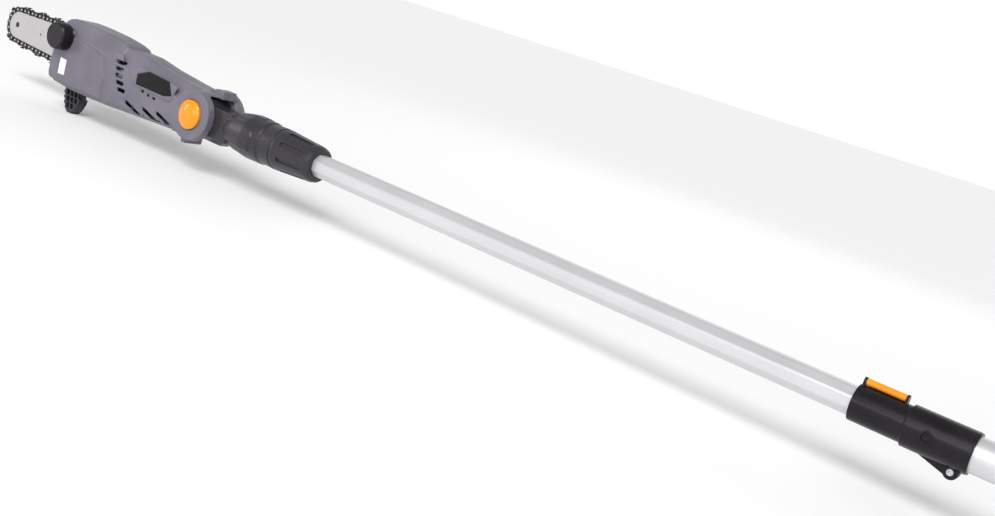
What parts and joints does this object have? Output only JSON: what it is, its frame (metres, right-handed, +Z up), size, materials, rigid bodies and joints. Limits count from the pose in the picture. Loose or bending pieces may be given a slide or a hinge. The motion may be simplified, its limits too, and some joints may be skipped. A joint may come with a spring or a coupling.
{
  "type": "telescoping pole saw",
  "caption": "Battery pole saw: short chain bar on a long grey motor head, push-button tilt knuckle, octagonal pole sliding in a round pole with a flip clamp, and a rear trigger handle.",
  "frame": {"origin": "middle of the plan of the bounding box, on the plane that the branch hook and the battery rest on", "axes": "X along the pole from the bar nose towards the rear handle, -Y is the oil cap side, Z up"},
  "size_m": [2.4002, 0.1066, 0.1332],
  "materials": {
    "housing_grey": "fine satin moulded grey",
    "dark_plastic": "dark grey satin moulding",
    "black_plastic": "black satin moulding",
    "gloss_black": "glossy black plate",
    "orange": "glossy orange",
    "aluminium_tube": "drawn and anodised",
    "bar_steel": "satin ground",
    "chain_steel": "dark oiled steel",
    "bright_steel": "zinc plated",
    "motor_steel": "dark plated can",
    "gear_brass": "plain brass",
    "tank_plastic": "milky blow moulding",
    "window_plastic": "milky clear",
    "seal_rubber": "soft black rubber",
    "foam": "black closed cell foam"
  },
  "bodies": {
    "lower_pole": {"lower_pole": "aluminium_tube", "pole_clamp": "black_plastic", "clamp_pin": "bright_steel", "pinch_screw": "bright_steel", "pinch_nut": "bright_steel", "clamp_set_screw": "black_plastic", "foam_grip": "foam", "strap_ring": "black_plastic", "strap_ring_screw": "bright_steel", "handle_near": "housing_grey", "handle_far": "housing_grey", "handle_screws": "bright_steel", "switch_block": "black_plastic", "terminal_block": "black_plastic"},
    "clamp_lever": {"clamp_lever": "orange"},
    "upper_pole": {"upper_pole": "aluminium_tube", "pole_end_bush": "black_plastic", "connector_near": "dark_plastic", "connector_far": "dark_plastic", "connector_screws": "bright_steel", "tube_collet": "dark_plastic"},
    "collar_nut": {"collar_nut": "dark_plastic"},
    "saw_head": {"head_shell_near": "housing_grey", "head_shell_far": "housing_grey", "sprocket_cover": "housing_grey", "bar_mount_plate": "aluminium_tube", "branch_hook": "dark_plastic", "guide_bar": "bar_steel", "bar_nose_rivets": "chain_steel", "chain_drive_links": "chain_steel", "chain_tie_straps": "chain_steel", "chain_cutters": "chain_steel", "chain_rivets": "bright_steel", "oil_tank": "tank_plastic", "oil_window": "window_plastic", "bar_stud": "bright_steel", "tension_block": "bright_steel", "shaft_bearing": "bright_steel", "motor_can": "motor_steel", "name_plate": "gloss_black", "head_screws": "bright_steel", "tilt_sleeve": "bright_steel"},
    "tilt_button": {"tilt_button": "orange", "lock_gear": "bright_steel"},
    "oil_cap": {"oil_cap": "black_plastic", "oil_cap_seal": "seal_rubber"},
    "cover_knob": {"cover_knob": "black_plastic"},
    "tension_screw": {"tension_screw": "bright_steel"},
    "sprocket": {"sprocket_shaft": "bright_steel", "chain_sprocket": "bright_steel", "face_gear": "bright_steel"},
    "motor_rotor": {"motor_shaft": "bright_steel", "motor_pinion": "gear_brass"},
    "trigger": {"trigger": "orange"},
    "lock_off_button": {"lock_off_button": "orange"},
    "battery": {"battery_pack": "dark_plastic", "battery_contacts": "gear_brass"},
    "battery_latch": {"battery_latch": "orange"}
  },
  "joints": [
    {"name": "lever_flip", "type": "hinge", "parent": "lower_pole", "child": "clamp_lever", "pos_m": [0.24222, 0, 0.09726], "axis": [1, 0, 0], "range_deg": [0, 110]},
    {"name": "pole_slide", "type": "slide", "parent": "lower_pole", "child": "upper_pole", "axis": [1, 0, 0], "range_m": [0, 0.68]},
    {"name": "collar_turn", "type": "hinge", "parent": "upper_pole", "child": "collar_nut", "pos_m": [-0.53028, 0, 0.075], "axis": [1, 0, 0], "range_deg": [0, 60]},
    {"name": "head_tilt", "type": "hinge", "parent": "upper_pole", "child": "saw_head", "pos_m": [-0.70427, 0, 0.075], "axis": [0, 1, 0], "range_deg": [-50, 0]},
    {"name": "tilt_button_press", "type": "slide", "parent": "saw_head", "child": "tilt_button", "axis": [0, 1, 0], "range_m": [0, 0.005], "stiffness_N_per_m": 900, "springref_m": -0.001},
    {"name": "oil_cap_turn", "type": "hinge", "parent": "saw_head", "child": "oil_cap", "pos_m": [-0.99028, 0, 0.105], "axis": [0, 1, 0], "range_deg": [0, 360]},
    {"name": "cover_knob_turn", "type": "hinge", "parent": "saw_head", "child": "cover_knob", "pos_m": [-0.98528, 0, 0.0844], "axis": [0, 1, 0], "range_deg": [0, 360]},
    {"name": "tension_screw_turn", "type": "hinge", "parent": "saw_head", "child": "tension_screw", "pos_m": [-0.98128, 0.022, 0.069], "axis": [1, 0, 0], "range_deg": [-180, 180]},
    {"name": "sprocket_turn", "type": "hinge", "parent": "saw_head", "child": "sprocket", "pos_m": [-0.93527, 0, 0.0844], "axis": [0, 1, 0], "continuous": true},
    {"name": "motor_turn", "type": "hinge", "parent": "saw_head", "child": "motor_rotor", "pos_m": [-0.86128, -0.009, 0.0844], "axis": [1, 0, 0], "continuous": true},
    {"name": "trigger_pull", "type": "hinge", "parent": "lower_pole", "child": "trigger", "pos_m": [1.07573, 0, 0.059], "axis": [0, 1, 0], "range_deg": [0, 8], "stiffness_Nm_per_rad": 0.6, "springref_deg": -2.86},
    {"name": "lock_off_press", "type": "slide", "parent": "lower_pole", "child": "lock_off_button", "axis": [0, 0, -1], "range_m": [0, 0.003], "stiffness_N_per_m": 500, "springref_m": -0.001},
    {"name": "battery_slide", "type": "slide", "parent": "lower_pole", "child": "battery", "axis": [0, 0, -1], "range_m": [0, 0.07]},
    {"name": "battery_latch_press", "type": "slide", "parent": "battery", "child": "battery_latch", "axis": [0, 0, -1], "range_m": [0, 0.003], "stiffness_N_per_m": 600, "springref_m": -0.001}
  ],
  "couplings": [
    {"joint": "motor_turn", "follows": "sprocket_turn", "ratio": -3}
  ]
}
